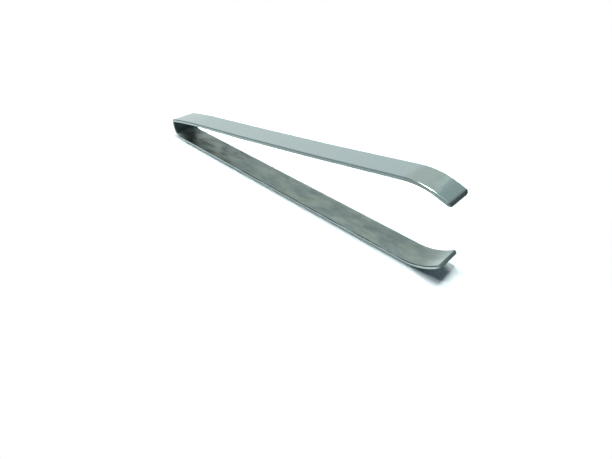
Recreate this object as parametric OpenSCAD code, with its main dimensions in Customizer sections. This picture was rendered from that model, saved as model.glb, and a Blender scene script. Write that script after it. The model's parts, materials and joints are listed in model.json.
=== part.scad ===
// Ice tongs bent from one strip of satin stainless steel. The strip springs at six flex lines, so
// it is drawn as seven spans: a bow, and a shank, a grip and a jaw on each arm. Where two spans
// meet, one ends in a round nose about the flex line and the next has a seat around that nose.
// Millimetres. +X runs from the bow to the jaws, +Z is up, and the lower arm lies on z = 0.

/* [Strip] */
// Width of the steel strip
strip_width = 15; // [12:0.5:20]
// Thickness of the steel strip
strip_thickness = 1.6; // [1.3:0.1:2]
// Radius of the strip's four long edges
edge_radius = 0.6; // [0.2:0.05:0.6]

// How much thinner and narrower the strip is drawn in its bends, as bending draws the metal
bend_thinning = 0.02; // [0.01:0.01:0.06]

/* [Bow] */
// Mid-line radius of the wide bend that rises from the lower arm
lower_bend_radius = 5.8; // [3:0.2:9]
// Mid-line radius of the tight bend that meets the upper arm
upper_bend_radius = 1.4; // [1.2:0.1:4]
// Length of the flat back between the two bends
back_length = 3.2; // [1:0.2:10]
// Angle that the flat back leans away from the jaws, in degrees
back_lean = 14; // [0:1:25]
// Straight stub that the bow has on each arm, up to the flex line
stub_length = 4; // [3:0.5:8]

/* [Arms] */
// Angle between the two grips at rest, in degrees
opening_angle = 10.2; // [8:0.1:14]
// Length of each shank, from its flex line to the grip's
shank_length = 52; // [40:1:65]
// Length of each grip, from its flex line to the jaw's
grip_length = 52; // [40:1:65]
// Straight length of each jaw before it curls
jaw_flat_length = 47; // [30:1:60]
// Length of the shoulder curve at the start of the upper shank
shoulder_length = 19; // [8:1:30]
// Angle that the shoulder curve turns down, in degrees
shoulder_turn = 4.5; // [1:0.1:7]
// Angle that each span of the upper arm turns up from the one before, in degrees
upper_arm_set = 0.7; // [0.1:0.1:1.2]

/* [Jaws] */
// Mid-line radius of the lower jaw's curl
lower_curl_radius = 24; // [14:0.5:35]
// Angle that the lower jaw curls up, in degrees
lower_curl_angle = 41; // [20:0.5:50]
// Straight tip of the lower jaw past its curl
lower_tip_length = 1.5; // [1.5:0.1:6]
// Mid-line radius of the upper jaw's curl
upper_curl_radius = 35; // [20:0.5:45]
// Angle that the upper jaw curls down, in degrees
upper_curl_angle = 27.5; // [15:0.5:40]
// Straight tip of the upper jaw past its curl
upper_tip_length = 6; // [1.5:0.1:9]
// Radius of the two corners of each tip, seen from above
tip_corner_radius = 1.2; // [0.3:0.1:1.4]

/* [Flex lines] */
// Radius of the round nose about each flex line
nose_radius = 1.6; // [1.3:0.1:2.2]
// Running clearance between a nose and its seat
flex_clearance = 0.05; // [0.02:0.01:0.1]

/* [Hidden] */
$fn = 180;

STEEL = [0.70, 0.75, 0.74];
// How far a cutting solid runs past what it cuts
overrun = 1;
// How far a straight stretch reaches back into the bend before it
lap = 0.05;

// A place on the strip's mid-line is [x, z, heading], with the heading in degrees up from +X.
function arc_length(radius, turn) = radius * abs(turn) * PI / 180;
function chord(length, turn) = turn == 0 ? length : length * sin(turn / 2) / (turn * PI / 360);
function next(place, length, turn = 0) = [
    place.x + chord(length, turn) * cos(place[2] + turn / 2),
    place.y + chord(length, turn) * sin(place[2] + turn / 2),
    place[2] + turn
];
function turned(place, turn) = [place.x, place.y, place[2] + turn];
// X of the strip's surface beside a place, on the side of the mid-line that is given as 1 or -1
function surface_x(place, side) = place.x - side * strip_thickness / 2 * sin(place[2]);

// Turns and headings along the strip
back_heading = 90 + back_lean;
lower_bend_turn = back_heading - 180;
shank_heading = opening_angle - upper_arm_set;
bow_heading = shank_heading + shoulder_turn;
upper_bend_turn = bow_heading - back_heading;
shoulder_radius = shoulder_length / (shoulder_turn * PI / 180);

// Places along the strip, counted from where the bow meets the lower arm
start = [0, strip_thickness / 2, 0];
lower_root = next(start, stub_length);
lower_middle = next(lower_root, shank_length);
lower_neck = next(lower_middle, grip_length);
lower_curl = next(lower_neck, jaw_flat_length);
lower_tip = next(lower_curl, arc_length(lower_curl_radius, lower_curl_angle), lower_curl_angle);
lower_end = next(lower_tip, lower_tip_length);

bow_start = turned(start, 180);
back_start = next(bow_start, arc_length(lower_bend_radius, lower_bend_turn), lower_bend_turn);
back_end = next(back_start, back_length);
upper_start = next(back_end, arc_length(upper_bend_radius, upper_bend_turn), upper_bend_turn);
upper_root = next(upper_start, stub_length);
shoulder_end = next(upper_root, shoulder_length, -shoulder_turn);
upper_middle = turned(next(shoulder_end, shank_length - shoulder_length), upper_arm_set);
upper_neck = turned(next(upper_middle, grip_length), upper_arm_set);
upper_curl = next(upper_neck, jaw_flat_length);
upper_tip = next(upper_curl, arc_length(upper_curl_radius, upper_curl_angle), -upper_curl_angle);
upper_end = next(upper_tip, upper_tip_length);

// The origin lies under the middle of the tongs' length.
back_x = back_end.x + upper_bend_radius * sin(back_heading)
    - upper_bend_radius - (strip_thickness - bend_thinning) / 2;
front_x = max(surface_x(lower_end, -1), surface_x(upper_end, 1));
middle_x = (back_x + front_x) / 2;

// Strip's cross-section, a rectangle with four rounded corners, drawn in by an inset all round
module section(inset = 0) {
    edge_y = strip_width / 2 - edge_radius;
    edge_z = strip_thickness / 2 - edge_radius;
    square([strip_width - 2 * inset, 2 * edge_z], center = true);
    square([2 * edge_y, strip_thickness - 2 * inset], center = true);
    for (side = [-1, 1], face = [-1, 1])
        translate([side * edge_y, face * edge_z]) circle(r = edge_radius - inset);
}

// Puts its children on the strip at a place, with their +X along the heading
module at(place) {
    translate([place.x, 0, place.y]) rotate([0, -place[2], 0]) children();
}

// Straight stretch of strip along +X
module straight(length) {
    translate([-lap, 0, 0]) rotate([90, 0, 90])
        linear_extrude(height = length + lap) section();
}

// Bent stretch of strip that leaves along +X and turns up, or down where the turn is negative
module bend(radius, turn) {
    mirror([0, 0, turn < 0 ? 1 : 0])
        translate([0, 0, radius]) rotate([0, 90, -90])
            rotate_extrude(angle = abs(turn))
                translate([radius, 0]) rotate(90) section(bend_thinning / 2);
}

// Cylinder across the strip, about a flex line
module flex_cylinder(radius) {
    rotate([90, 0, 0])
        cylinder(r = radius, h = strip_width + 2 * overrun, center = true);
}

// Puts its children where a bend that starts here ends
module past_bend(radius, turn) {
    centre = turn < 0 ? -radius : radius;
    translate([0, 0, centre]) rotate([0, -turn, 0]) translate([0, 0, -centre]) children();
}

// Straight stretch of strip that ends in a round nose about the next flex line
module nosed(length) {
    straight(length);
    translate([length, 0, 0]) intersection() {
        straight(nose_radius + overrun);
        flex_cylinder(nose_radius);
    }
}

// Cuts its children, which start here, so that they seat around the nose before them
module seated() {
    difference() {
        children();
        flex_cylinder(nose_radius + flex_clearance);
    }
}

// Straight tip of a jaw, with its two corners rounded as seen from above
module tip(length) {
    intersection() {
        straight(length);
        linear_extrude(height = strip_thickness + 2 * overrun, center = true) {
            translate([-overrun, -strip_width / 2])
                square([overrun + length - tip_corner_radius, strip_width]);
            translate([-overrun, tip_corner_radius - strip_width / 2])
                square([overrun + length, strip_width - 2 * tip_corner_radius]);
            for (side = [-1, 1])
                translate([length - tip_corner_radius, side * (strip_width / 2 - tip_corner_radius)])
                    circle(r = tip_corner_radius);
        }
    }
}

// Jaw from its flex line on: a flat stretch, the curl and the tip
module jaw(radius, turn, tip_length) {
    seated() straight(jaw_flat_length);
    translate([jaw_flat_length, 0, 0]) {
        bend(radius, turn);
        past_bend(radius, turn) tip(tip_length);
    }
}

// Puts its children at a place of the finished part, whose origin is under its middle
module span_at(place) {
    color(STEEL) translate([-middle_x, 0, 0]) at(place) children();
}

module bow() {
    span_at(back_start) {
        straight(back_length);
        translate([back_length, 0, 0]) {
            bend(upper_bend_radius, upper_bend_turn);
            past_bend(upper_bend_radius, upper_bend_turn) nosed(stub_length);
        }
        rotate([0, 180, 0]) {
            bend(lower_bend_radius, -lower_bend_turn);
            past_bend(lower_bend_radius, -lower_bend_turn) nosed(stub_length);
        }
    }
}

module upper_shank() {
    span_at(upper_root) seated() {
        bend(shoulder_radius, -shoulder_turn);
        past_bend(shoulder_radius, -shoulder_turn) nosed(shank_length - shoulder_length);
    }
}

module upper_grip() {
    span_at(upper_middle) seated() nosed(grip_length);
}

module upper_jaw() {
    span_at(upper_neck) jaw(upper_curl_radius, -upper_curl_angle, upper_tip_length);
}

module lower_shank() {
    span_at(lower_root) seated() nosed(shank_length);
}

module lower_grip() {
    span_at(lower_middle) seated() nosed(grip_length);
}

module lower_jaw() {
    span_at(lower_neck) jaw(lower_curl_radius, lower_curl_angle, lower_tip_length);
}

bow();
upper_shank();
upper_grip();
upper_jaw();
lower_shank();
lower_grip();
lower_jaw();
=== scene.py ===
"""Plain ice tongs bent from one strip of satin stainless steel, lying on a white table.

The strip is one curve in the plane y = 0. It runs from the lower tip along the lower arm, round
the bow and along the upper arm to the upper tip. It is made as six stretches that meet in the
middle of the spans, so that each stretch crosses one flex line.
"""

import json

import bpy
import numpy as np
from bpy.props import FloatProperty, FloatVectorProperty, PointerProperty
from mathutils import Matrix, Vector


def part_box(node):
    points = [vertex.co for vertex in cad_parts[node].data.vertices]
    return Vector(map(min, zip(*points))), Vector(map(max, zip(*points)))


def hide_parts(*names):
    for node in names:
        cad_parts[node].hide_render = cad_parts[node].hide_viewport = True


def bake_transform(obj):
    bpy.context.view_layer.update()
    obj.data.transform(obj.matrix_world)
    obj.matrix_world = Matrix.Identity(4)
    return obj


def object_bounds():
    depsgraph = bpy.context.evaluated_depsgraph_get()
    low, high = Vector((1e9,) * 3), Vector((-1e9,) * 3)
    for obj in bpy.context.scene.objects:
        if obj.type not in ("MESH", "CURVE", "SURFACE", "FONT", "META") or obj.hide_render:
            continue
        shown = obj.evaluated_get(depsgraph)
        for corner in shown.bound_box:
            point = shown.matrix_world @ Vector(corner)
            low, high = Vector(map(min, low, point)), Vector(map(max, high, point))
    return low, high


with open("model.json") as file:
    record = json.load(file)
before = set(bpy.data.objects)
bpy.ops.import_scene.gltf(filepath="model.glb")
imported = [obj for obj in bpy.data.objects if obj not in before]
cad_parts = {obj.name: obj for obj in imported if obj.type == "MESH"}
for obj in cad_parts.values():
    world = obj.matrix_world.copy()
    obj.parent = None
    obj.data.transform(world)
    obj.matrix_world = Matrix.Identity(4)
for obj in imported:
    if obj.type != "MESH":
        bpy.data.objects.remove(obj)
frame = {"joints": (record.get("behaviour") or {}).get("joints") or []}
CAD_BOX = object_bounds()

bl_info = {
    "name": "Ice tongs",
    "version": (1, 0, 0),
    "blender": (4, 5, 0),
    "location": "3D View > Sidebar > Ice tongs",
    "description": "Builds bent strip ice tongs and the table they lie on",
    "category": "Add Mesh",
}

MM = 0.001
# Attribute that holds each point's place on the straightened strip: along, across and outward
PLACE = "strip_place"

# Rings lie no further apart than this, and closer where the strip turns more than this angle
LONGEST_STEP = 1.2 * MM
SHARPEST_STEP = np.radians(3)
# The rings that round a tip keep this far from the other ones
RING_GAP = 0.1 * MM
# Decimals of a metre at which two such rings count as one
RING_DECIMALS = 8
# How much a sheared face looks along the strip at least, and across it at most
SHEARED_LOOK = 0.18
SIDEWAYS_LOOK = 0.7
# A piece's bend stays this far inside the ends where it meets the next piece
SEAM_CLEAR = 2 * MM
# How far into each jaw its bend reaches
LOWER_NECK_BEND = 20 * MM
UPPER_NECK_BEND = 12 * MM

# How often each pattern changes in a metre: along the strip, across it and through it
FINE_LINES = (55, 2600, 2600)
COARSE_LINES = (22, 640, 640)
WAVES = (60, 90, 90)
PATCHES = (75, 110, 110)
BLOTCHES = (130, 300, 300)
TEARS = (900, 900, 260)
# Shares of the fine and the coarse lines in the grain, and how high the grain stands on the waves
FINE_SHARE = 0.75
COARSE_SHARE = 0.25
GRAIN_HEIGHT = 0.04
# How far the patches push the edges of the marks to and fro along the strip
WANDER = 5 * MM
# Middle value of every noise
NOISE_MIDDLE = 0.5
# Values of a pattern between which a mark comes in
SHEEN_PATCHES = (0.38, 0.6)
LIGHT_PATCHES = (0.45, 0.6)
EDGE_SHADE_PATCHES = (0.3, 0.55)
STAIN_BLOTCHES = (0.42, 0.66)
GRAIN_STREAKS = (0.3, 0.7)
# Distances from the mid-line, outwards, between which the inner face and the painted dark line
# along its edges come in
INNER_FACE = (-0.45 * MM, -0.75 * MM)
EDGE_SHADE_FACE = (-0.35 * MM, -0.5 * MM)
# Distances from the strip's edges between which the painted shade inside the bow ends
RIM = (0.45 * MM, 0.2 * MM)
# Lengths over which the painted dark line along the edges and the painted reflection tint of the
# upper tip come in
EDGE_SHADE_FADE = 0.15 * MM
TIP_REFLECTION_FADE = 1 * MM
# Places across the strip between which the painted light on the bow's floor comes in
LIGHTENED_SIDE = (-5 * MM, 2 * MM)
# Share of its length over which each of these marks has its full depth
NEAR_BOW_CORE = 0.8
BOW_SHADE_CORE = 0.4
SHADED_CORE = 0.5
# Share of the half width from which the upper tip's sheared end is painted darker with shade,
# towards +Y
SHADED_CORNER = 0.5
# How dark and how light the sheared ends get, as shares of their colour
CUT_SHADES = (0.7, 1.5)

# Heights of a mirrored direction between which the backdrop fades into the ceiling
BACKDROP_FADES = (0.05, 0.42)
# How closely a mirrored direction faces the backdrop, at its outer and its inner edge
BACKDROP_EDGE = (0.64, 0.71)
# Only a ray that is mirrored for the first time has a depth below this
SECOND_MIRROR = 1.5
# Width of the camera's sensor in mm, and the nearest and furthest that it sees in metres
SENSOR_WIDTH = 36
NEAREST_SEEN = 0.005
FURTHEST_SEEN = 20
# Sockets of a Mix node for colours: its factor, its two colours and its result
MIX_FACTOR, MIX_FIRST, MIX_SECOND, MIX_RESULT = 0, 6, 7, 2

JOINTS = {joint["name"]: joint for joint in frame["joints"]}
GRIP_LOW, GRIP_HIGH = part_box("lower_grip")
LOWER_TIP = Vector((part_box("lower_jaw")[1].x, 0, CAD_BOX[0].z))


# ---------------------------------------------------------------- sizes and colours


def length(name, description, default):
    """A length in metres that the sidebar shows in scene units."""
    return FloatProperty(
        name=name, description=description, default=default, unit="LENGTH", precision=5
    )


def angle(name, description, degrees):
    """An angle, given in degrees and kept in radians."""
    return FloatProperty(
        name=name, description=description, default=np.radians(degrees), unit="ROTATION"
    )


def share(name, description, default, most=1.0):
    """A plain number from 0 to most."""
    return FloatProperty(name=name, description=description, default=default, min=0, max=most)


def direction(name, description, default):
    """A direction in the scene's axes."""
    return FloatVectorProperty(
        name=name, description=description, default=default, subtype="DIRECTION", size=3
    )


def colour(name, description, default):
    """A linear colour."""
    return FloatVectorProperty(
        name=name, description=description, default=default, subtype="COLOR", size=3, min=0, max=4
    )


class StripSizes(bpy.types.PropertyGroup):
    """Sizes of the steel strip and of its bends"""

    width: length("Width", "Width of the strip", GRIP_HIGH.y - GRIP_LOW.y)
    thickness: length("Thickness", "Thickness of the strip", GRIP_HIGH.z - GRIP_LOW.z)
    outer_edge_radius: length("Outer edge", "Radius of the long edges of the outer face", 0.6 * MM)
    inner_edge_radius: length("Inner edge", "Radius of the long edges of the inner face", 0.3 * MM)
    lower_bend_radius: length("Lower bend", "Mid-line radius of the bow's wide bend", 5.8 * MM)
    upper_bend_radius: length("Upper bend", "Mid-line radius of the bow's tight bend", 1.4 * MM)
    back_length: length("Back", "Length of the flat back between the two bends", 3.2 * MM)
    back_lean: angle("Back lean", "Angle that the back leans away from the jaws", 14)
    stub_length: length("Stub", "Straight stretch between a bend and its flex line", 4 * MM)
    shoulder_length: length("Shoulder", "Length of the shoulder curve of the upper arm", 19 * MM)
    shoulder_turn: angle("Shoulder turn", "Angle that the shoulder curve turns down", 4.5)
    set_length: length("Set length", "Length of each of the upper arm's two slight bends", 20 * MM)
    set_turn: angle("Set turn", "Angle that each of these two bends turns up", 0.7)
    jaw_flat_length: length("Jaw flat", "Straight length of each jaw before its curl", 47 * MM)
    lower_curl_radius: length("Lower curl", "Mid-line radius of the lower jaw's curl", 24 * MM)
    lower_curl_angle: angle("Lower curl angle", "Angle that the lower jaw curls up", 41)
    lower_tip_length: length("Lower tip", "Straight tip of the lower jaw", 1.5 * MM)
    upper_curl_radius: length("Upper curl", "Mid-line radius of the upper jaw's curl", 35 * MM)
    upper_curl_angle: angle("Upper curl angle", "Angle that the upper jaw curls down", 27.5)
    upper_tip_length: length("Upper tip", "Straight tip of the upper jaw", 6 * MM)
    tip_corner_radius: length("Tip corner", "Radius of a tip's corners, seen from above", 1.8 * MM)
    worn_corner_radius: length("Worn corner", "Radius of the lower tip's corner at -Y", 2.8 * MM)
    upper_tip_round: length("Upper tip round", "Rounding of the upper tip's top edge", 1.5 * MM)
    lower_tip_round: length("Lower tip round", "Rounding of the lower tip's top edge", 0.8 * MM)
    tip_bottom_round: length("Tip bottom", "Rounding of both tips' bottom edges", 0.1 * MM)
    bend_ease: share("Bend ease", "Share of a bend over which its curve comes in and goes out", 0.3)


class SteelLook(bpy.types.PropertyGroup):
    """Colours and finish of the steel"""

    steel: colour("Steel", "Colour of the clean steel", (0.525, 0.68, 0.665))
    sheen: colour("Sheen", "Tint of the clean steel's slow patches", (1.035, 0.98, 1.005))
    streak: colour("Streak", "Tint of the dark lines of the grain", (0.95, 0.95, 0.95))
    # Painted shade: the upper jaw's curl, which turns down away from the light, is tinted darker.
    cast: colour("Cast", "Tint of the upper jaw's curl", (0.885, 0.89, 0.83))
    # Painted reflection: a lighter band on the outer face before the upper tip.
    brightened: colour("Rubbed", "Tint of the rubbed band before the upper tip", (1.18, 1.17, 1.1))
    # Painted reflection: the upper tip is tinted a bluer grey.
    tip_reflection: colour("Blued", "Tint of the upper tip", (0.95, 0.99, 0.98))
    # Painted shade: the upper tip's end and its sheared face are darkened, the sheared face more
    # towards +Y.
    shaded: colour("Burnt", "Tint of the upper tip's end and sheared face", (0.54, 0.53, 0.56))
    # Inner faces: partly a tarnished finish, partly painted shade where the two arms face each
    # other.
    tarnish_and_shade: colour("Tarnish", "Colour of the dull inner faces", (0.365, 0.47, 0.445))
    patch: colour("Patch", "Tint of the lighter patches of the inner faces", (1.26, 1.2, 1.14))
    # Painted reflection: the lower tip's inner face is made lighter, where it curls up and mirrors
    # the bright table.
    mirror_lit: colour("Worn", "Tint of the lower tip's inner face, worn bright", (1.3, 1.28, 1.36))
    # Real stains, and also the colour of the painted shade towards the bow.
    stain_and_shade: colour("Stain", "Colour of the dark stains on the inner faces", (0.12, 0.145, 0.13))
    # Painted shade: near black inside the bow, and the dark line along the inner faces' edges.
    painted_shade: colour("Soot", "Colour of the dark tarnish inside the bow", (0.075, 0.11, 0.105))
    # Painted light: the bow's rougher floor is made lighter away from -Y.
    matt_and_lightened: colour("Matt", "Tint of the bow's matt floor, away from -Y", (1.35, 1.35, 1.35))
    cut: colour("Cut end", "Colour of the sheared end faces", (0.22, 0.29, 0.28))
    stain_depth: share("Stain depth", "Depth of the stains far from the bow", 0.3)
    bow_stain_depth: share("Bow stain depth", "How much deeper the stains are near the bow", 0.45)
    # Painted shade: an even darkening of the inner faces towards the bow.
    bow_shade_share: share("Bow dulling", "Even share of the stain's colour near the bow", 0.16)
    roughness: share("Roughness", "Roughness of the clean steel", 0.27)
    dull_roughness: share("Dull roughness", "Roughness of the dull inner faces", 0.36)
    bow_floor_roughness: share("Soot roughness", "Roughness of the tarnish in the bow", 0.62)
    cut_roughness: share("Cut roughness", "Roughness of the sheared end faces", 0.6)
    grain_roughness: share("Grain roughness", "How far the grain changes the roughness", 0.06)
    grain_bump: share("Grain bump", "Strength of the grain's and the waves' bump", 0.35)
    grain_depth: length("Grain depth", "Depth of the grain and the waves", 0.02 * MM)
    tear_bump: share("Tear bump", "Strength of the sheared ends' bump", 0.5)
    tear_depth: length("Tear depth", "Depth of the tears in the sheared ends", 0.03 * MM)
    brushing: share("Brushing", "How far a glint is drawn out across the grain", 0.55)
    # Painted shade: a dark line along the inner faces' edges, where their rounding mirrors the dark
    # room.
    edge_shade_width: length("Grime width", "Width of the grime along the inner faces' edges", 0.35 * MM)
    # Reach of that painted reflection from the lower tip.
    mirror_lit_length: length("Worn length", "How far the lower tip is worn bright", 9 * MM)
    # Reach of the painted shade inside the bow.
    bow_shade_length: length("Soot length", "How far round the bow the dark tarnish reaches", 9 * MM)
    # Reach of the bow's rougher floor and of the painted light on it.
    matt_and_lightened_length: length("Matt length", "How far round the bow its floor is matt", 17 * MM)
    # Reach of the deeper stains and of the painted shade towards the bow.
    bow_darkening_length: length("Dull length", "How far round the bow the stains are deeper", 58 * MM)
    # Reach of that painted shade from the upper tip, and how it comes in.
    curl_shade_length: length("Cast length", "How far from the upper tip its curl is tinted", 23.5 * MM)
    curl_shade_fade: length("Cast fade", "Length over which that tint comes in", 4 * MM)
    # Start of that painted band, measured from the upper tip.
    brightened_length: length("Rubbed length", "How far from the upper tip the band starts", 12 * MM)
    # Reach of that painted tint from the upper tip.
    tip_reflection_length: length("Blued length", "Length of the upper tip that is tinted", 8.2 * MM)
    # Reach of that painted shade from the upper tip's end.
    shaded_length: length("Burnt length", "How far from its end the upper tip is burnt", 2.4 * MM)


class StudioLook(bpy.types.PropertyGroup):
    """Light, table and camera"""

    table_half: length("Table half", "Half the side of the square table", 0.13)
    table: share("Table", "Grey of the table as the light bounces off it", 0.5)
    table_mirrored: share("Table mirrored", "Grey of the table as the steel mirrors it", 0.32)
    table_glow: share("Table glow", "Light that the mirrored table keeps in the shadows", 0.45)
    glow_start: length("Glow start", "How far in front of the tongs the glow fades from", 0.018)
    glow_end: length("Glow end", "How far in front of the tongs the glow has faded", 0.042)
    bow_glow: share("Bow glow", "Light that the seen table keeps under the bow", 0.4)
    bow_glow_fade: length("Bow glow fade", "Length over which that glow comes in", 5 * MM)
    table_seen: colour("Table seen", "Colour of the table as it is seen", (0.81, 0.92, 0.93))
    plain_light: colour("Plain light", "Even light from all round", (0.056, 0.075, 0.09))
    backdrop: colour("Backdrop", "What the steel mirrors low behind the bow", (0.93, 0.93, 0.93))
    ceiling: colour("Ceiling", "What the steel mirrors high behind the bow", (0.66, 0.66, 0.67))
    dark_room: colour("Dark room", "What the steel mirrors on the other sides", (0.30, 0.32, 0.34))
    backdrop_way: direction("Backdrop way", "Towards the middle of the backdrop", (-0.62, 0.78, 0))
    lamp_distance: length("Lamp distance", "Distance of every lamp from the lower tip", 1)
    key_way: direction("Key way", "Towards the main lamp, above the jaws", (-0.2, 0.05, 1))
    key_power: share("Key power", "Power of the main lamp in watts", 9.3, most=100)
    key_length: length("Key length", "Length of the main lamp, along the tongs", 0.2)
    key_width: length("Key width", "Width of the main lamp, across the tongs", 0.1)
    side_way: direction("Side way", "Towards the small lamp over the bow", (-0.54, -0.26, 1))
    side_power: share("Side power", "Power of the small lamp in watts", 2.4, most=100)
    side_size: length("Side size", "Sides of the small lamp", 0.1)
    cloth_way: direction("Cloth way", "Towards the lamp behind a cloth", (-0.24, 0.72, 1))
    cloth_power: share("Cloth power", "Power of the lamp behind a cloth in watts", 5.4, most=100)
    cloth_length: length("Cloth length", "Length of the cloth, along the tongs", 0.17)
    cloth_width: length("Cloth width", "Width of the cloth, across the tongs", 0.46)
    glint_way: direction("Glint way", "Towards the lamp that glints on a jaw", (-0.16, -0.14, 0.97))
    glint_power: share("Glint power", "Power of the glinting lamp in watts", 8.5, most=100)
    glint_length: length("Glint length", "Length of the glinting lamp, along the tongs", 0.17)
    glint_width: length("Glint width", "Width of the glinting lamp, across the tongs", 0.55)
    camera_azimuth: angle("Azimuth", "Angle of the camera round the tongs, from -Y", 39.02)
    camera_elevation: angle("Elevation", "Angle of the camera above the table", 37.22)
    camera_roll: angle("Roll", "Turn of the camera about its own axis", 4.18)
    camera_place: FloatVectorProperty(
        name="Camera place",
        description="Where the camera stands",
        default=(0.13933, -0.15719, 0.13409),
        unit="LENGTH",
        size=3,
    )
    lens: FloatProperty(name="Lens", description="Focal length in mm", default=28.18, unit="CAMERA")


# ---------------------------------------------------------------- the strip's mid-line


def flex(name):
    """The place of a flex line on the mid-line, as x and z."""
    x, _, z = JOINTS[name]["pos_m"]
    return np.array((x, z))


def span(first, last):
    """Straight distance between two flex lines."""
    return float(np.linalg.norm(flex(last) - flex(first)))


def smooth(t):
    """0 below 0, 1 above 1 and t*t*(3 - 2t) between them."""
    t = np.clip(t, 0, 1)
    return t * t * (3 - 2 * t)


class MidLine:
    """The strip's mid-line from the lower tip to the upper tip.

    Each row of the route is a stretch: its name, its length and how far the strip turns over it.
    A bend's curvature is its turn over its length, and it comes in and goes out smoothly about
    the bend's two ends. The running sum of the curvature is the heading, and the running sums of
    the heading's cosine and sine are x and z.
    """

    STEP = 0.02 * MM

    def __init__(self, sizes):
        half_set = sizes.set_length / 2
        lower_curl = sizes.lower_curl_radius * sizes.lower_curl_angle
        upper_curl = sizes.upper_curl_radius * sizes.upper_curl_angle
        lower_turn = np.pi / 2 - sizes.back_lean
        upper_turn = np.pi / 2
        upper_shank = span("upper_root_flex", "upper_middle_flex")
        upper_grip = span("upper_middle_flex", "upper_neck_flex")
        route = [
            ("lower_tip", sizes.lower_tip_length, 0),
            ("lower_curl", lower_curl, -sizes.lower_curl_angle),
            ("lower_neck", sizes.jaw_flat_length, 0),
            ("lower_middle", span("lower_neck_flex", "lower_middle_flex"), 0),
            ("lower_root", span("lower_middle_flex", "lower_root_flex"), 0),
            ("lower_stub", sizes.stub_length, 0),
            ("lower_bend", sizes.lower_bend_radius * lower_turn, -lower_turn),
            ("back", sizes.back_length, 0),
            ("upper_bend", sizes.upper_bend_radius * upper_turn, -upper_turn),
            ("upper_root", sizes.stub_length, 0),
            ("shoulder", sizes.shoulder_length, -sizes.shoulder_turn),
            ("upper_shank", upper_shank - sizes.shoulder_length - half_set, 0),
            ("upper_middle_set", sizes.set_length, sizes.set_turn),
            ("upper_grip", upper_grip - sizes.set_length, 0),
            ("upper_neck_set", sizes.set_length, sizes.set_turn),
            ("upper_flat", sizes.jaw_flat_length - half_set, 0),
            ("upper_curl", upper_curl, -sizes.upper_curl_angle),
            ("upper_tip", sizes.upper_tip_length, 0),
        ]
        names = [row[0] for row in route]
        lengths = np.array([row[1] for row in route])
        turns = np.array([row[2] for row in route])
        ends = np.cumsum(lengths)
        starts = ends - lengths
        self.end = dict(zip(names, ends))
        self.start = dict(zip(names, starts))
        self.total = ends[-1]

        self.distance = np.linspace(0, self.total, int(self.total / self.STEP) + 1)
        step = self.distance[1]
        bent = turns != 0
        ease = sizes.bend_ease * lengths[bent]
        rise = smooth((self.distance[:, None] - starts[bent]) / ease + 0.5)
        fall = smooth((self.distance[:, None] - ends[bent]) / ease + 0.5)
        self.curvature = ((rise - fall) * (turns[bent] / lengths[bent])).sum(1)

        self.heading = self.running_sum(self.curvature, step)
        self.heading += np.pi - np.interp(self.end["lower_root"], self.distance, self.heading)
        self.x = self.running_sum(np.cos(self.heading), step)
        self.z = self.running_sum(np.sin(self.heading), step)
        root = flex("lower_root_flex")
        self.x += root[0] - np.interp(self.end["lower_root"], self.distance, self.x)
        self.z += root[1] - np.interp(self.end["lower_root"], self.distance, self.z)

    @staticmethod
    def running_sum(values, step):
        """Area under the values up to each point, by trapeziums."""
        middles = (values[1:] + values[:-1]) / 2
        return np.concatenate(([0], np.cumsum(middles) * step))

    def at(self, distances):
        """x, z and heading at these distances along the strip."""
        return [np.interp(distances, self.distance, row) for row in (self.x, self.z, self.heading)]

    def middle(self, stretch):
        """Distance to the middle of a stretch of the route."""
        return (self.start[stretch] + self.end[stretch]) / 2

    def ring_distances(self, first, last, longest, sharpest):
        """Distances from first to last, at most longest apart and closer where the strip bends.

        Their density is the larger of 1 / longest and curvature / sharpest. Equal steps of its
        running sum give the distances.
        """
        inside = (self.distance > first) & (self.distance < last)
        along = np.concatenate(([first], self.distance[inside], [last]))
        bending = np.abs(np.interp(along, self.distance, self.curvature))
        density = np.maximum(1 / longest, bending / sharpest)
        count = np.concatenate(([0], np.cumsum((density[1:] + density[:-1]) / 2 * np.diff(along))))
        steps = int(np.ceil(count[-1]))
        return np.interp(np.linspace(0, count[-1], steps + 1), count, along)


# ---------------------------------------------------------------- the strip's surface


def section_rule(corner_steps=8, face_steps=14, side_steps=3):
    """How each point of the section follows its half width, half thickness and edge radius.

    A point lies at across = a * (half_width - r) + c * r and outward = b * (half_thickness - r)
    + d * r, where r is the edge radius.
    On a corner a and b are its signs and (c, d) goes round a quarter circle. On a flat one of
    a and b runs from one corner to the next, more closely near the corners on the wide faces.
    Two corners and two flats make half of the section, and their negatives make the rest.
    """

    def rows(*columns):
        return np.stack(np.broadcast_arrays(*columns), 1)

    turn = np.linspace(0, np.pi / 2, corner_steps + 1)
    wide = np.sin(np.linspace(np.pi / 2, -np.pi / 2, face_steps + 1))[1:-1]
    narrow = np.linspace(1, -1, side_steps + 1)[1:-1]
    first_corner = rows(1, 1, np.cos(turn), np.sin(turn))
    outer_face = rows(wide, 1, 0, 1)
    second_corner = rows(-1, 1, -np.sin(turn), np.cos(turn))
    side_face = rows(-1, narrow, -1, 0)
    half = np.concatenate((first_corner, outer_face, second_corner, side_face))
    return np.concatenate((half, -half))


def inset(depth, radius):
    """How far a quarter round lies inside the full shape, at a depth from its end.

    At a depth below the radius it is radius - sqrt(radius**2 - (radius - depth)**2).
    """
    short = np.clip(radius - depth, 0, radius)
    return radius - np.sqrt(radius**2 - short**2)


def tip_distances(sizes, steps=12):
    """Depths of the rings that round a tip off, closer towards its end face."""
    shares = 1 - np.cos(np.linspace(0, np.pi / 2, steps + 1))
    radii = (
        sizes.tip_corner_radius,
        sizes.worn_corner_radius,
        sizes.upper_tip_round,
        sizes.lower_tip_round,
    )
    return np.unique(np.round(np.outer(radii, shares), RING_DECIMALS))


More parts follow.
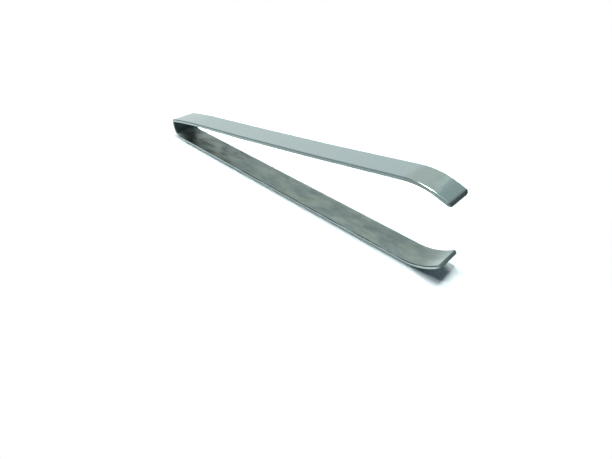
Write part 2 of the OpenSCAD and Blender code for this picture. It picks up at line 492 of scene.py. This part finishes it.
def strip_surface(line, sizes, first, last):
    """The strip between two distances, as rings of points and their places on the straight strip.

    The section is carried along the mid-line: a point is the mid-line's place plus its outward
    share of the normal, and its across share is y. At a tip the half widths and the distances
    of the outer and inner faces shrink by quarter rounds. The lower tip's corner at -Y has a
    larger one than the other corners.
    """
    distances = line.ring_distances(first, last, LONGEST_STEP, SHARPEST_STEP)
    for end in (0.0, line.total):
        if end in (first, last):
            depths = np.abs(end - tip_distances(sizes))
            keep = np.abs(distances - end) > np.abs(end - depths).max() + RING_GAP
            distances = np.unique(np.concatenate((distances[keep], depths)))
    low, high = distances, line.total - distances
    far_half = sizes.width / 2 - inset(np.minimum(low, high), sizes.tip_corner_radius)
    near_half = np.minimum(far_half, sizes.width / 2 - inset(low, sizes.worn_corner_radius))
    outer_loss = inset(low, sizes.tip_bottom_round) + inset(high, sizes.upper_tip_round)
    inner_loss = inset(low, sizes.lower_tip_round) + inset(high, sizes.tip_bottom_round)
    outer_face = sizes.thickness / 2 - outer_loss
    inner_face = inner_loss - sizes.thickness / 2
    half_thickness = (outer_face - inner_face)[:, None] / 2
    middle = (outer_face + inner_face)[:, None] / 2
    a, b, c, d = section_rule().T
    edge_radius = np.where(b > 0, sizes.outer_edge_radius, sizes.inner_edge_radius)
    radius = np.minimum(edge_radius, half_thickness)
    half_width = np.where(a < 0, near_half[:, None], far_half[:, None])
    across = a * (half_width - radius) + c * radius
    outward = middle + b * (half_thickness - radius) + d * radius

    x, z, heading = (row[:, None] for row in line.at(distances))
    points = np.stack((x - outward * np.sin(heading), across, z + outward * np.cos(heading)), -1)
    places = np.stack((distances[:, None] + 0 * across, across, outward), -1)
    ways = np.stack((np.cos(heading), 0 * heading, np.sin(heading)), -1)
    return points, places, ways


def strip_mesh(name, points, places, ways):
    """A closed mesh from rings of points, with a flat face over the first and the last ring.

    A face that looks along the strip is a sheared one and takes the second material. So does
    the flat face over a ring at either tip of the strip.
    """
    rings, around = points.shape[:2]
    index = np.arange(rings * around).reshape(rings, around)
    onward = np.roll(index, -1, axis=1)
    sides = np.stack((index[:-1], onward[:-1], onward[1:], index[1:]), -1).reshape(-1, 4)
    corners = np.concatenate((sides.ravel(), index[0, ::-1], index[-1]))
    sizes = np.concatenate((np.full(len(sides), 4), (around, around)))
    starts = np.concatenate(([0], np.cumsum(sizes)[:-1]))

    mesh = bpy.data.meshes.new(name)
    mesh.vertices.add(rings * around)
    mesh.vertices.foreach_set("co", points.astype(np.float32).ravel())
    mesh.loops.add(len(corners))
    mesh.loops.foreach_set("vertex_index", corners.astype(np.int32))
    mesh.polygons.add(len(sizes))
    mesh.polygons.foreach_set("loop_start", starts.astype(np.int32))
    mesh.polygons.foreach_set("use_smooth", sizes == 4)
    beside = np.roll(points, -1, axis=1)
    looks = np.cross(beside[1:] - points[:-1], points[1:] - beside[:-1])
    looks /= np.linalg.norm(looks, axis=2, keepdims=True)
    sheared = np.abs((looks * ways[:-1]).sum(2)) > SHEARED_LOOK
    sheared &= np.abs(looks[:, :, 1]) < SIDEWAYS_LOOK
    lower_tip = places[0, 0, 0] == 0
    upper_tip = sheared[-1].any()
    sheared = np.concatenate((sheared.ravel(), (lower_tip, upper_tip)))
    mesh.polygons.foreach_set("material_index", sheared.astype(np.int32))
    place = mesh.attributes.new(PLACE, "FLOAT_VECTOR", "POINT")
    place.data.foreach_set("vector", places.astype(np.float32).ravel())
    mesh.update(calc_edges=True)
    ring_of = np.empty(2 * len(mesh.edges), np.int32)
    mesh.edges.foreach_get("vertices", ring_of)
    ring_of = ring_of.reshape(-1, 2) // around
    at_end = (ring_of == 0).all(1) | (ring_of == rings - 1).all(1)
    mesh.edges.foreach_set("use_edge_sharp", at_end)
    mesh.validate()
    return mesh


def strip_piece(line, name, ends, bend, nodes):
    """Makes one stretch of the strip.

    The ends of the stretch and of its bend are distances along the strip. The bend's places are
    worked out but not used.
    """
    scene = bpy.context.scene
    sizes = scene.tongs_sizes
    mesh = strip_mesh(name, *strip_surface(line, sizes, *ends))
    for finish in (satin_steel, cut_end):
        mesh.materials.append(finish(scene.tongs_look, line, sizes.width / 2))
    piece = bpy.data.objects.new(name, mesh)
    scene.collection.objects.link(piece)
    start, end = (line.at(place) for place in bend)
    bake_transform(piece)
    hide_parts(*nodes)


# ---------------------------------------------------------------- materials


def opaque(colour):
    """A colour as a node colour."""
    return (*colour, 1)


def grey(value):
    """A grey as a node colour."""
    return opaque((value, value, value))


def tinted(colour, tint):
    """A colour times a tint, as a node colour."""
    return opaque(np.multiply(colour, tint))


class Nodes:
    """Short calls to build one node tree."""

    def __init__(self, tree):
        self.tree = tree

    def add(self, kind, inputs=None, **settings):
        """A node with its settings and its inputs, which are values or other nodes' outputs."""
        node = self.tree.nodes.new(kind)
        for key, value in settings.items():
            setattr(node, key, value)
        for key, value in (inputs or {}).items():
            if isinstance(value, bpy.types.NodeSocket):
                self.tree.links.new(value, node.inputs[key])
            else:
                node.inputs[key].default_value = value
        return node

    def math(self, operation, *values):
        """The output of a Math node."""
        inputs = dict(enumerate(values))
        return self.add("ShaderNodeMath", inputs, operation=operation).outputs[0]

    def product(self, first, *others):
        """The product of two or more values."""
        for other in others:
            first = self.math("MULTIPLY", first, other)
        return first

    def rest(self, value):
        """What a value lacks to 1."""
        return self.math("SUBTRACT", 1.0, value)

    def between(self, value, low, high, smooth_ends=True):
        """0 where value is below low, 1 above high, and a soft step between them."""
        node = self.add(
            "ShaderNodeMapRange",
            {"Value": value, "From Min": low, "From Max": high},
            interpolation_type="SMOOTHSTEP" if smooth_ends else "LINEAR",
        )
        return node.outputs["Result"]

    def mix(self, factor, first, second, blend_type="MIX"):
        """A colour between two colours, or the first one changed by the second."""
        inputs = {MIX_FACTOR: factor, MIX_FIRST: first, MIX_SECOND: second}
        node = self.add("ShaderNodeMix", inputs, data_type="RGBA", blend_type=blend_type)
        return node.outputs[MIX_RESULT]

    def tint(self, colour, tint, amount):
        """A colour multiplied by a tint, by a share of it."""
        return self.mix(amount, colour, opaque(tint), blend_type="MULTIPLY")

    def noise(self, place, often, detail, fineness=1.0, roughness=0.5):
        """The value of a noise that changes this often along each axis of the place."""
        scaled = self.add("ShaderNodeVectorMath", {0: place, 1: often}, operation="MULTIPLY")
        inputs = {"Vector": scaled.outputs[0], "Scale": fineness, "Detail": detail}
        return self.add("ShaderNodeTexNoise", {**inputs, "Roughness": roughness}).outputs["Fac"]


def new_group(name, inputs, outputs):
    """A node group with named inputs and outputs, as its nodes and these two lists of sockets."""
    tree = bpy.data.node_groups.new(name, "ShaderNodeTree")
    for socket, kind in inputs:
        tree.interface.new_socket(socket, in_out="INPUT", socket_type=kind)
    for socket, kind in outputs:
        tree.interface.new_socket(socket, in_out="OUTPUT", socket_type=kind)
    nodes = Nodes(tree)
    return nodes, nodes.add("NodeGroupInput").outputs, nodes.add("NodeGroupOutput").inputs


def rolling_grain():
    """Group: fine lines along the strip, slow patches, and the height of the lines and waves.

    The place on the straight strip is squeezed along its length, so a noise becomes lines. Two
    scales of lines add up, and slow noises give the strip's patches and waves.
    """
    name = "rolling_grain"
    if name in bpy.data.node_groups:
        return bpy.data.node_groups[name]
    inputs = [("Place", "NodeSocketVector"), ("Fineness", "NodeSocketFloat")]
    outputs = [(socket, "NodeSocketFloat") for socket in ("Lines", "Patches", "Height")]
    nodes, given, result = new_group(name, inputs, outputs)
    place, fineness = given["Place"], given["Fineness"]
    fine = nodes.noise(place, FINE_LINES, detail=3, fineness=fineness)
    coarse = nodes.noise(place, COARSE_LINES, detail=2, fineness=fineness)
    waves = nodes.noise(place, WAVES, detail=1)
    patches = nodes.noise(place, PATCHES, detail=2)
    fine, coarse = nodes.product(fine, FINE_SHARE), nodes.product(coarse, COARSE_SHARE)
    lines = nodes.math("ADD", fine, coarse)
    height = nodes.math("ADD", nodes.product(lines, GRAIN_HEIGHT), waves)
    for name, value in (("Lines", lines), ("Patches", patches), ("Height", height)):
        nodes.tree.links.new(value, result[name])
    return nodes.tree


def place_of(nodes):
    """The place on the straight strip, in metres, and its along, across and outward shares."""
    place = nodes.add("ShaderNodeAttribute", attribute_name=PLACE).outputs["Vector"]
    parts = nodes.add("ShaderNodeSeparateXYZ", {0: place}).outputs
    return place, parts[0], parts[1], parts[2]


def emptied(owner):
    """Short calls for the node tree of a material or a world, with its nodes taken out."""
    owner.use_nodes = True
    owner.node_tree.nodes.clear()
    return Nodes(owner.node_tree)


def seen_ray(nodes, ray):
    """1 for a ray from the camera, or from it through glass, and 0 for the others."""
    return nodes.math("MAXIMUM", ray["Is Camera Ray"], ray["Is Transmission Ray"])


def new_material(name):
    """An empty metal with its nodes and its Principled shader, which is wired to the output."""
    material = bpy.data.materials.new(name)
    nodes = emptied(material)
    shader = nodes.add("ShaderNodeBsdfPrincipled", {"Metallic": 1.0})
    nodes.add("ShaderNodeOutputMaterial", {"Surface": shader.outputs[0]})
    return material, nodes, shader


def colour_and_bump(nodes, shader, base, height, strength, depth):
    """Gives a shader its colour and the bump of a height."""
    inputs = {"Strength": strength, "Distance": depth, "Height": height}
    bump = nodes.add("ShaderNodeBump", inputs).outputs[0]
    nodes.tree.links.new(base, shader.inputs["Base Color"])
    nodes.tree.links.new(bump, shader.inputs["Normal"])


def clean_steel(nodes, look, line, along, wavy, patches):
    """Colour of the outer face: patched at random, with painted shade and painted reflections in
    bands towards the upper tip.
    """
    from_tip = nodes.math("SUBTRACT", line.total, wavy)
    base = nodes.tint(opaque(look.steel), look.sheen, nodes.between(patches, *SHEEN_PATCHES))
    # Painted shade on the upper jaw's curl, which turns down away from the light.
    cast = nodes.between(from_tip, look.curl_shade_length, look.curl_shade_length - look.curl_shade_fade)
    base = nodes.tint(base, look.cast, cast)
    # Painted reflection: a lighter band before the upper tip.
    brightened = nodes.between(from_tip, look.brightened_length, look.tip_reflection_length)
    base = nodes.mix(brightened, base, tinted(look.steel, look.brightened))
    # Painted reflection: the upper tip tinted a bluer grey.
    tip_reflection = nodes.between(from_tip, look.tip_reflection_length, look.tip_reflection_length - TIP_REFLECTION_FADE)
    base = nodes.mix(tip_reflection, base, tinted(look.steel, look.tip_reflection))
    # Painted shade at the upper tip's end.
    from_end = nodes.math("SUBTRACT", line.total, along)
    shaded = nodes.between(from_end, look.shaded_length, look.shaded_length * SHADED_CORE)
    return nodes.tint(base, look.shaded, shaded)


def satin_steel(look, line, half_width):
    """Satin steel: clean outside and on its edges, dull, stained and darkened by painted shade
    inside.

    Inside the bow its floor is rougher and painted near black with shade up to a clean rim, and
    further out painted lighter away from -Y. A painted dark line runs along the inner faces' edges,
    and the lower tip's inner face carries a painted reflection. The outer face carries painted
    shade and painted reflections in bands towards the upper tip, whose end is painted darker with
    shade.
    """
    name = "satin_strip"
    if name in bpy.data.materials:
        return bpy.data.materials[name]
    material, nodes, shader = new_material(name)
    place, along, across, outward = place_of(nodes)
    inputs = {"Place": place, "Fineness": 1.0}
    grain = nodes.add("ShaderNodeGroup", inputs, node_tree=rolling_grain()).outputs
    lines, patches = grain["Lines"], grain["Patches"]
    wandering = nodes.product(nodes.math("SUBTRACT", patches, NOISE_MIDDLE), WANDER)
    wavy = nodes.math("ADD", along, wandering)
    clean = clean_steel(nodes, look, line, along, wavy, patches)

    from_back = nodes.math("ABSOLUTE", nodes.math("SUBTRACT", along, line.middle("back")))
    # Towards the bow the stains deepen and painted shade darkens the inner faces.
    near_bow = nodes.between(from_back, look.bow_darkening_length, look.bow_darkening_length * NEAR_BOW_CORE)
    # Painted shade: near black inside the bow, up to a clean rim.
    in_bow = nodes.between(from_back, look.bow_shade_length, look.bow_shade_length * BOW_SHADE_CORE)
    # The bow's rougher floor, which also takes painted light.
    matt_and_lightened = nodes.between(from_back, look.matt_and_lightened_length, look.bow_shade_length)
    from_middle = nodes.math("ABSOLUTE", across)
    on_rim = nodes.between(from_middle, *(half_width - inwards for inwards in RIM))
    in_bow = nodes.product(in_bow, nodes.rest(on_rim))

    light = nodes.between(patches, *LIGHT_PATCHES)
    # Inner faces: a tarnished finish darkened by painted shade where the arms face each other, with
    # lighter patches at random.
    dull = nodes.tint(opaque(look.tarnish_and_shade), look.patch, light)
    # Painted reflection: lighter towards the lower tip, where its curl mirrors the bright table.
    dull = nodes.tint(dull, look.mirror_lit, nodes.between(along, look.mirror_lit_length, 0))
    blotches = nodes.noise(place, BLOTCHES, detail=5, roughness=0.6)
    depth = nodes.math("ADD", look.stain_depth, nodes.product(near_bow, look.bow_stain_depth))
    stained = nodes.product(nodes.between(blotches, *STAIN_BLOTCHES), depth)
    dull = nodes.mix(stained, dull, opaque(look.stain_and_shade))
    # Painted shade: an even darkening towards the bow.
    dull = nodes.mix(nodes.product(near_bow, look.bow_shade_share), dull, opaque(look.stain_and_shade))
    # Painted light: the bow's floor is lightened away from -Y.
    dull = nodes.tint(dull, look.matt_and_lightened, nodes.product(matt_and_lightened, nodes.between(across, *LIGHTENED_SIDE)))
    # Painted shade inside the bow.
    dull = nodes.mix(in_bow, dull, opaque(look.painted_shade))

    inner = nodes.between(outward, *INNER_FACE)
    base = nodes.mix(inner, clean, dull)
    # Painted shade: a dark line along the inner faces' edges, in patches and not near the bow.
    edge = half_width - look.edge_shade_width
    edge_shade = nodes.product(
        nodes.between(from_middle, edge, edge + EDGE_SHADE_FADE),
        nodes.between(outward, *EDGE_SHADE_FACE),
        nodes.between(patches, *EDGE_SHADE_PATCHES),
        nodes.rest(near_bow),
    )
    base = nodes.mix(edge_shade, base, opaque(look.painted_shade))
    streaks = nodes.between(lines, *GRAIN_STREAKS, smooth_ends=False)
    base = nodes.tint(base, look.streak, nodes.rest(streaks))

    dulled = nodes.product(inner, look.dull_roughness - look.roughness)
    matted = nodes.product(inner, matt_and_lightened, look.bow_floor_roughness - look.dull_roughness)
    grained = nodes.product(nodes.math("SUBTRACT", lines, NOISE_MIDDLE), look.grain_roughness)
    roughness = look.roughness
    for change in (dulled, matted, grained):
        roughness = nodes.math("ADD", roughness, change)
    colour_and_bump(nodes, shader, base, grain["Height"], look.grain_bump, look.grain_depth)
    nodes.tree.links.new(roughness, shader.inputs["Roughness"])
    across_way = nodes.add("ShaderNodeCombineXYZ", {"Y": 1.0}).outputs["Vector"]
    nodes.tree.links.new(across_way, shader.inputs["Tangent"])
    shader.inputs["Anisotropic"].default_value = look.brushing
    return material


def cut_end(look, line, half_width):
    """Sheared steel: dark, rough and torn across its thickness, and painted darker with shade on
    the upper tip.
    """
    name = "cut_end"
    if name in bpy.data.materials:
        return bpy.data.materials[name]
    material, nodes, shader = new_material(name)
    place, along, across, _ = place_of(nodes)
    tears = nodes.noise(place, TEARS, detail=3)
    darkest, lightest = (opaque(np.multiply(look.cut, shade)) for shade in CUT_SHADES)
    base = nodes.mix(tears, darkest, lightest)
    # Painted shade: the upper tip's sheared end is darkened, and more so towards +Y.
    upper = nodes.math("GREATER_THAN", along, line.total / 2)
    base = nodes.tint(base, look.shaded, upper)
    corner = nodes.between(across, half_width * SHADED_CORNER, half_width)
    base = nodes.tint(base, look.shaded, nodes.product(corner, upper))
    colour_and_bump(nodes, shader, base, tears, look.tear_bump, look.tear_depth)
    shader.inputs["Roughness"].default_value = look.cut_roughness
    return material


# ---------------------------------------------------------------- operators


class TONGS_OT_jaws(bpy.types.Operator):
    """Make the two jaws, each from its tip to the middle of its grip"""

    bl_idname = "tongs.jaws"
    bl_label = "Jaws"

    def execute(self, context):
        line = MidLine(context.scene.tongs_sizes)
        lower, upper = line.middle("lower_middle"), line.middle("upper_grip")
        strip_piece(
            line,
            "lower_jaw_strip",
            ends=(0.0, lower),
            bend=(line.end["lower_neck"] - LOWER_NECK_BEND, lower - SEAM_CLEAR),
            nodes=("lower_jaw",),
        )
        strip_piece(
            line,
            "upper_jaw_strip",
            ends=(upper, line.total),
            bend=(upper + SEAM_CLEAR, line.end["upper_neck_set"] + UPPER_NECK_BEND),
            nodes=("upper_jaw",),
        )
        return {"FINISHED"}


class TONGS_OT_grips(bpy.types.Operator):
    """Make the two grips, each from the middle of its grip to the middle of its shank"""

    bl_idname = "tongs.grips"
    bl_label = "Grips"

    def execute(self, context):
        line = MidLine(context.scene.tongs_sizes)
        lower = (line.middle("lower_middle"), line.middle("lower_root"))
        upper = (line.middle("upper_shank"), line.middle("upper_grip"))
        strip_piece(
            line,
            "lower_grip_strip",
            ends=lower,
            bend=(lower[0] + SEAM_CLEAR, lower[1] - SEAM_CLEAR),
            nodes=("lower_grip",),
        )
        strip_piece(
            line,
            "upper_grip_strip",
            ends=upper,
            bend=(upper[0] + SEAM_CLEAR, upper[1] - SEAM_CLEAR),
            nodes=("upper_grip",),
        )
        return {"FINISHED"}


class TONGS_OT_shanks(bpy.types.Operator):
    """Make the two shanks, each from its middle to the middle of the bow's back"""

    bl_idname = "tongs.shanks"
    bl_label = "Shanks and bow"

    def execute(self, context):
        line = MidLine(context.scene.tongs_sizes)
        lower, upper = line.middle("lower_root"), line.middle("upper_shank")
        back = line.middle("back")
        strip_piece(
            line,
            "lower_shank_strip",
            ends=(lower, back),
            bend=(lower + SEAM_CLEAR, line.end["lower_root"]),
            nodes=("lower_shank", "bow"),
        )
        strip_piece(
            line,
            "upper_shank_strip",
            ends=(back, upper),
            bend=(line.end["upper_root"], upper - SEAM_CLEAR),
            nodes=("upper_shank",),
        )
        return {"FINISHED"}


class TONGS_OT_stage(bpy.types.Operator):
    """Make the white table, the soft light and the camera"""

    bl_idname = "tongs.stage"
    bl_label = "Table, light and camera"

    def execute(self, context):
        studio = context.scene.tongs_studio
        context.scene.view_settings.view_transform = "Standard"
        make_table(studio)
        make_world(context.scene, studio)
        make_lamps(context.scene, studio)
        make_camera(context.scene, studio)
        return {"FINISHED"}


def make_table(studio):
    """A white table just under the tongs. It is seen brighter than it lights the steel.

    Its shadows keep a glow where the steel mirrors them, and under the bow where they are seen.
    """
    half, low = studio.table_half, CAD_BOX[0].z
    corners = [(x * half, y * half, low) for x, y in ((-1, -1), (1, -1), (1, 1), (-1, 1))]
    mesh = bpy.data.meshes.new("table")
    mesh.from_pydata(corners, [], [(0, 1, 2, 3)])
    material = bpy.data.materials.new("white_table")
    nodes = emptied(material)
    ray = nodes.add("ShaderNodeLightPath").outputs
    shade = nodes.mix(ray["Is Glossy Ray"], grey(studio.table), grey(studio.table_mirrored))
    shade = nodes.mix(seen_ray(nodes, ray), shade, opaque(studio.table_seen))
    place = nodes.add("ShaderNodeTexCoord").outputs["Object"]
    place = nodes.add("ShaderNodeSeparateXYZ", {0: place}).outputs
    first = nodes.math("LESS_THAN", ray["Ray Depth"], SECOND_MIRROR)
    near_tongs = nodes.between(place["Y"], -studio.glow_end, -studio.glow_start)
    mirrored = nodes.product(ray["Is Glossy Ray"], studio.table_glow, first, near_tongs)
    root = flex("lower_root_flex")[0]
    under_bow = nodes.between(place["X"], root, root - studio.bow_glow_fade)
    glow = nodes.product(ray["Is Camera Ray"], studio.bow_glow, under_bow)
    glow = nodes.math("ADD", mirrored, glow)
    lit = nodes.add("ShaderNodeBsdfDiffuse", {"Color": shade}).outputs[0]
    glowing = nodes.add("ShaderNodeEmission", {"Strength": glow}).outputs[0]
    surface = nodes.add("ShaderNodeAddShader", {0: lit, 1: glowing}).outputs[0]
    nodes.add("ShaderNodeOutputMaterial", {"Surface": surface})
    mesh.materials.append(material)
    table = bpy.data.objects.new("table", mesh)
    bpy.context.scene.collection.objects.link(table)


def make_world(scene, studio):
    """White all round as it is seen. The steel mirrors a backdrop and a dark room."""
    world = bpy.data.worlds.new("studio")
    nodes = emptied(world)
    ray = nodes.add("ShaderNodeLightPath").outputs
    way = nodes.add("ShaderNodeTexCoord").outputs["Generated"]
    up = nodes.add("ShaderNodeSeparateXYZ", {0: way}).outputs["Z"]
    ways = {0: way, 1: studio.backdrop_way}
    facing = nodes.add("ShaderNodeVectorMath", ways, operation="DOT_PRODUCT")
    rising = nodes.between(up, *BACKDROP_FADES)
    behind = nodes.between(facing.outputs["Value"], *BACKDROP_EDGE)
    backdrop = nodes.mix(rising, opaque(studio.backdrop), opaque(studio.ceiling))
    mirrored = nodes.mix(behind, opaque(studio.dark_room), backdrop)
    light = nodes.mix(ray["Is Glossy Ray"], opaque(studio.plain_light), mirrored)
    light = nodes.mix(seen_ray(nodes, ray), light, grey(1))
    surface = nodes.add("ShaderNodeBackground", {"Color": light}).outputs[0]
    nodes.add("ShaderNodeOutputWorld", {"Surface": surface})
    scene.world = world


def make_lamp(scene, name, way, distance, size, energy):
    """A flat lamp that faces the lower tip and isn't seen. Its first side lies along the tongs."""
    towards = Vector(way).normalized()
    along = Vector((0, 1, 0)).cross(towards).normalized()
    light = bpy.data.lights.new(name, "AREA")
    light.shape = "RECTANGLE"
    light.size, light.size_y = size
    light.energy = energy
    lamp = bpy.data.objects.new(name, light)
    turned = Matrix((along, towards.cross(along), towards)).transposed().to_4x4()
    lamp.matrix_world = Matrix.Translation(LOWER_TIP + towards * distance) @ turned
    lamp.visible_camera = False
    scene.collection.objects.link(lamp)
    return lamp


def make_lamps(scene, studio):
    """Three lamps that light the table, and one that only the steel mirrors."""
    far = studio.lamp_distance
    size = (studio.key_length, studio.key_width)
    key = make_lamp(scene, "key_lamp", studio.key_way, far, size, studio.key_power)
    size = (studio.side_size, studio.side_size)
    side = make_lamp(scene, "side_lamp", studio.side_way, far, size, studio.side_power)
    size = (studio.cloth_length, studio.cloth_width)
    cloth = make_lamp(scene, "cloth_lamp", studio.cloth_way, far, size, studio.cloth_power)
    for lamp in (key, side, cloth):
        lamp.visible_glossy = False
    size = (studio.glint_length, studio.glint_width)
    glint = make_lamp(scene, "glint_lamp", studio.glint_way, far, size, studio.glint_power)
    glint.visible_diffuse = False


def make_camera(scene, studio):
    """A camera that stands to the right of the jaws and looks down along the arms."""
    data = bpy.data.cameras.new("camera")
    data.sensor_width = SENSOR_WIDTH
    data.lens = studio.lens
    data.clip_start = NEAREST_SEEN
    data.clip_end = FURTHEST_SEEN
    camera = bpy.data.objects.new("camera", data)
    camera.matrix_world = (
        Matrix.Translation(studio.camera_place)
        @ Matrix.Rotation(studio.camera_azimuth, 4, "Z")
        @ Matrix.Rotation(np.pi / 2 - studio.camera_elevation, 4, "X")
        @ Matrix.Rotation(studio.camera_roll, 4, "Z")
    )
    scene.collection.objects.link(camera)
    scene.camera = camera


class TONGS_PT_panel(bpy.types.Panel):
    """Lists the pieces of the tongs and their sizes"""

    bl_label = "Ice tongs"
    bl_idname = "TONGS_PT_panel"
    bl_space_type = "VIEW_3D"
    bl_region_type = "UI"
    bl_category = "Ice tongs"

    def draw(self, context):
        layout = self.layout
        for operator in OPERATORS:
            layout.operator(operator.bl_idname)
        for group in GROUPS:
            box = layout.box()
            for name in GROUPS[group].__annotations__:
                box.prop(getattr(context.scene, group), name)


OPERATORS = (TONGS_OT_jaws, TONGS_OT_grips, TONGS_OT_shanks, TONGS_OT_stage)
GROUPS = {"tongs_sizes": StripSizes, "tongs_look": SteelLook, "tongs_studio": StudioLook}


def register():
    for group in (*GROUPS.values(), *OPERATORS, TONGS_PT_panel):
        bpy.utils.register_class(group)
    for name, group in GROUPS.items():
        setattr(bpy.types.Scene, name, PointerProperty(type=group))


def unregister():
    for name in GROUPS:
        delattr(bpy.types.Scene, name)
    for group in (TONGS_PT_panel, *reversed(OPERATORS), *reversed(GROUPS.values())):
        bpy.utils.unregister_class(group)


def main():
    register()
    bpy.ops.tongs.jaws()
    bpy.ops.tongs.grips()
    bpy.ops.tongs.shanks()
    bpy.ops.tongs.stage()


if __name__ == "__main__":
    main()
